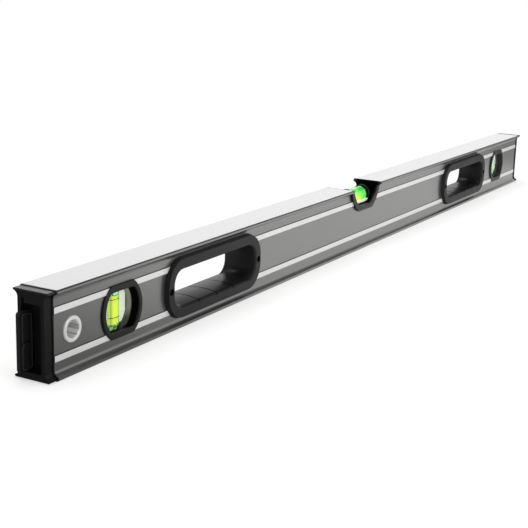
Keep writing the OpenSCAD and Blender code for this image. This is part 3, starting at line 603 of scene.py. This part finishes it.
def liquid_finish(name, centre, across, stops, bubble=None):
    """Fluorescent liquid. across is a direction, and stops are places along it with their colours."""
    material, tree = new_finish(name)
    here = add_node(tree, "ShaderNodeTexCoord").outputs["Object"]
    centred = add_node(tree, "ShaderNodeVectorMath", {0: here, 1: centre}, operation="SUBTRACT")
    off = add_node(tree, "ShaderNodeVectorMath", {0: centred, 1: across},
                   operation="DOT_PRODUCT").outputs["Value"]
    swirl = add_node(tree, "ShaderNodeTexNoise", {"Vector": here, "Scale": 1 / SWIRL, "Detail": 2.0})
    wander = add_node(tree, "ShaderNodeMapRange", {"Value": swirl, "To Min": -WANDER, "To Max": WANDER})
    off = add_node(tree, "ShaderNodeMath", {0: off, 1: wander}, operation="ADD")
    off = add_node(tree, "ShaderNodeMapRange", {"Value": off, "From Min": -CHAMBER_R,
                   "From Max": CHAMBER_R})
    dye = add_node(tree, "ShaderNodeValToRGB", {"Fac": off})
    set_stops(dye.color_ramp.elements, stops)
    if bubble:
        dye = bubble_over(tree, centred, across, dye, bubble)
    shader = add_node(tree, "ShaderNodeBsdfPrincipled", {"Base Color": dye, "Roughness": 0.25, "IOR": 1.33,
                      "Emission Color": dye, "Emission Strength": LIQUID_GLOW})
    add_node(tree, "ShaderNodeOutputMaterial", {"Surface": shader})
    return material


# %% [markdown]
# The plug that closes a plumb vial is clear too. Here it is opaque, painted with a cluster of sparkles as
# painted glints, and it glows a little as painted light.

# %% Plug finish
plug_finish, tree = new_finish("sparkling_vial_plug")
here = add_node(tree, "ShaderNodeTexCoord").outputs["Object"]
glints = sparkles(tree, here)
shader = add_node(tree, "ShaderNodeBsdfPrincipled", {"Base Color": glints, "Roughness": 0.2,
                  "Emission Color": glints, "Emission Strength": 0.25})
add_node(tree, "ShaderNodeOutputMaterial", {"Surface": shader})
print("plug finish:", plug_finish.name)

# %% [markdown]
# The liquids and the plumb reflectors are copies of the CAD solids, stretched by 0.12 mm.
# A film of air before the acrylic would turn the wall of the block into a mirror, so each copy
# laps over that wall.

# %% Pieces that touch the acrylic
LAP = 0.12 * MM
MERGE_WITHIN = 0.001 * MM


def lap_copy(node, centre, grow, material):
    """Stands for a CAD solid with a copy stretched about a point, so that it touches the acrylic."""
    body = bmesh.new()
    body.from_mesh(nodes[node].data)
    bmesh.ops.remove_doubles(body, verts=body.verts, dist=MERGE_WITHIN)
    bmesh.ops.scale(body, vec=grow, verts=body.verts, space=Matrix.Translation(-Vector(centre)))
    for face in body.faces:
        face.smooth = False
    mesh = bpy.data.meshes.new(node + "_lapped")
    body.to_mesh(mesh)
    body.free()
    piece = bpy.data.objects.new(node + "_lapped", mesh)
    scene.collection.objects.link(piece)
    mesh.materials.append(material)
    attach(piece, "root")
    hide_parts(node)
    print(piece.name, "faces:", len(mesh.polygons))


PLUMB_X = 379 * MM
BARREL_Z = 48.2 * MM
BLOCK_BACK, PLATE_BACK = 7 * MM, 8 * MM
PLUMB_ACROSS, CENTRE_ACROSS = (0.87, -0.5, 0), (-0.35, -0.3, -0.89)
wider = 1 + LAP / CHAMBER_R
thicker = 1 + LAP / (PLATE_BACK - BLOCK_BACK)
near_stops = [(0.0, "#6aa23a"), (0.10, "#d6ee6c"), (0.20, "#d6f25c"), (0.30, "#9cc83c"),
              (0.36, "#a8d13e"), (0.42, "#dcf84a"), (0.60, "#e6f63a"), (0.86, "#dcf648"),
              (0.93, "#b4e252"), (1.0, "#7cae4c")]
# The right vial's paler stops are painted reflection of the white room over its liquid
far_stops = [(0.0, "#8fc872"), (0.3, "#b9e79f"), (0.55, "#f2fae8"), (0.8, "#c4ecae"), (1.0, "#a6d68e")]
centre_stops = [(0.0, "#1fb838"), (0.30, "#46dc3c"), (0.62, "#8cf03c"), (0.85, "#d4f43c"),
                (1.0, "#f0ec4c")]
for side, label, stops, oval in ((-1, "left", near_stops, NEAR_OVAL),
                                 (1, "right", far_stops, FAR_OVAL)):
    middle = (side * PLUMB_X, 0, MID_Z)
    dye = liquid_finish("fluorescent_liquid_" + label, middle, PLUMB_ACROSS, stops, oval)
    lap_copy("plumb_%s_liquid" % label, middle, (wider, wider, 1), dye)
    plate = reflector_finish("white_styrene_" + label, side * PLUMB_X, True)
    lap_copy("plumb_%s_reflector" % label, (side * PLUMB_X, PLATE_BACK, MID_Z), (1, thicker, 1), plate)
middle = (0, 0, BARREL_Z)
dye = liquid_finish("fluorescent_liquid_centre", middle, CENTRE_ACROSS, centre_stops)
lap_copy("centre_liquid", middle, (1, wider, wider), dye)
white_finish = reflector_finish("white_styrene_centre", 0, False)

# %% [markdown]
# ## The beads on the bumpers
# A raised rubber bead runs round the two pads of each bumper, with a waist between them. Its lighter
# colour is a painted highlight.
# It is a closed curve with a round bevel. Each corner of its outline, in mm, comes with the size
# of its round, and the curve's handles point at the corner to draw that round.

# %% Bumper beads
BEAD_R = 0.35 * MM
PAD_FACE = 4.05 * MM
BEAD_OUT, BEAD_IN, WAIST_OUT = -460.3, -451.8, -458.9
BEAD_LOW, BEAD_HIGH, WAIST = 6.8, 42.6, 23.4
WAIST_HALF = 2
ROUND, SHOULDER_ROUND, WAIST_ROUND = 2.0, 1.2, 0.6
ROUND_PULL, STRAIGHT_PULL = 0.55, 0.1
corners = [(BEAD_OUT, BEAD_HIGH, ROUND), (BEAD_OUT, WAIST + WAIST_HALF, SHOULDER_ROUND),
           (WAIST_OUT, WAIST, WAIST_ROUND), (BEAD_OUT, WAIST - WAIST_HALF, SHOULDER_ROUND),
           (BEAD_OUT, BEAD_LOW, ROUND), (BEAD_IN, BEAD_LOW, ROUND), (BEAD_IN, BEAD_HIGH, ROUND)]
for side, label in ((1, "left"), (-1, "right")):
    spots = [(Vector((side * x, PAD_FACE / MM, z)) * MM, r * MM) for x, z, r in corners]
    curve = bpy.data.curves.new("bumper_%s_bead" % label, "CURVE")
    curve.dimensions = "3D"
    curve.bevel_depth = BEAD_R
    curve.bevel_resolution = 3
    curve.resolution_u = 6
    path = curve.splines.new("BEZIER")
    path.bezier_points.add(2 * len(spots) - 1)
    path.use_cyclic_u = True
    for k, (corner, r) in enumerate(spots):
        before, after = spots[k - 1][0], spots[(k + 1) % len(spots)][0]
        start, end = path.bezier_points[2 * k], path.bezier_points[2 * k + 1]
        start.co = corner + (before - corner).normalized() * r
        end.co = corner + (after - corner).normalized() * r
        for point in (start, end):
            point.handle_left_type = point.handle_right_type = "FREE"
        start.handle_left = start.co.lerp(before, STRAIGHT_PULL)
        start.handle_right = start.co.lerp(corner, ROUND_PULL)
        end.handle_left = end.co.lerp(corner, ROUND_PULL)
        end.handle_right = end.co.lerp(after, STRAIGHT_PULL)
    bead = bpy.data.objects.new("bumper_%s_bead" % label, curve)
    scene.collection.objects.link(bead)
    curve.materials.append(bead_highlight_finish)
    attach(bead, "root")
print("bead corners:", len(corners))

# %% [markdown]
# ## Dress every CAD node
# The record says which material slot each node has, so one table gives all of them their finish.
# A second table holds the nodes with a finish of their own. The photograph shows the far cap duller
# than the near one, and the far bezel lighter inside.

# %% Finishes on the CAD nodes
own_finish = {
    # The far cap's darker copy is painted shade
    "end_cap_right": far_cap_shaded_finish,
    # The far bezel's lighter copy is painted light
    "plumb_right_front_bezel": far_bezel_lit_finish,
    "plumb_left_block": acrylic_finish("edged_acrylic_left", -PLUMB_X, BLOCK_R, BLOCK_H,
                                       "#6f6f72", "#34382a"),
    # The right block's edge has a dark band and a pale back: painted shade and painted light
    "plumb_right_block": acrylic_finish("edged_acrylic_right", PLUMB_X, BLOCK_R, BLOCK_H,
                                        "#14180f", "#d6e2cc"),
    "plumb_left_plug": plug_finish, "plumb_right_plug": plug_finish,
    "centre_end_discs": disc_finish, "centre_plug": disc_finish,
}
finish_of_slot = {
    "painted_beam": beam_finish, "cap_plastic": cap_finish, "bumper_rubber": rubber_finish,
    "eyelet_metal": eyelet_finish, "grip_plastic": grip_finish, "screw_steel": screw_finish,
    "bezel_plastic": bezel_finish, "clear_acrylic": acrylic, "vial_liquid": dye,
    "ring_black": ring_finish, "white_plastic": white_finish,
}
for part in frame["record"]["subparts"]:
    skin = nodes[part["node"]].data.materials
    skin.clear()
    skin.append(own_finish.get(part["node"], finish_of_slot[part["material_slot"]]))
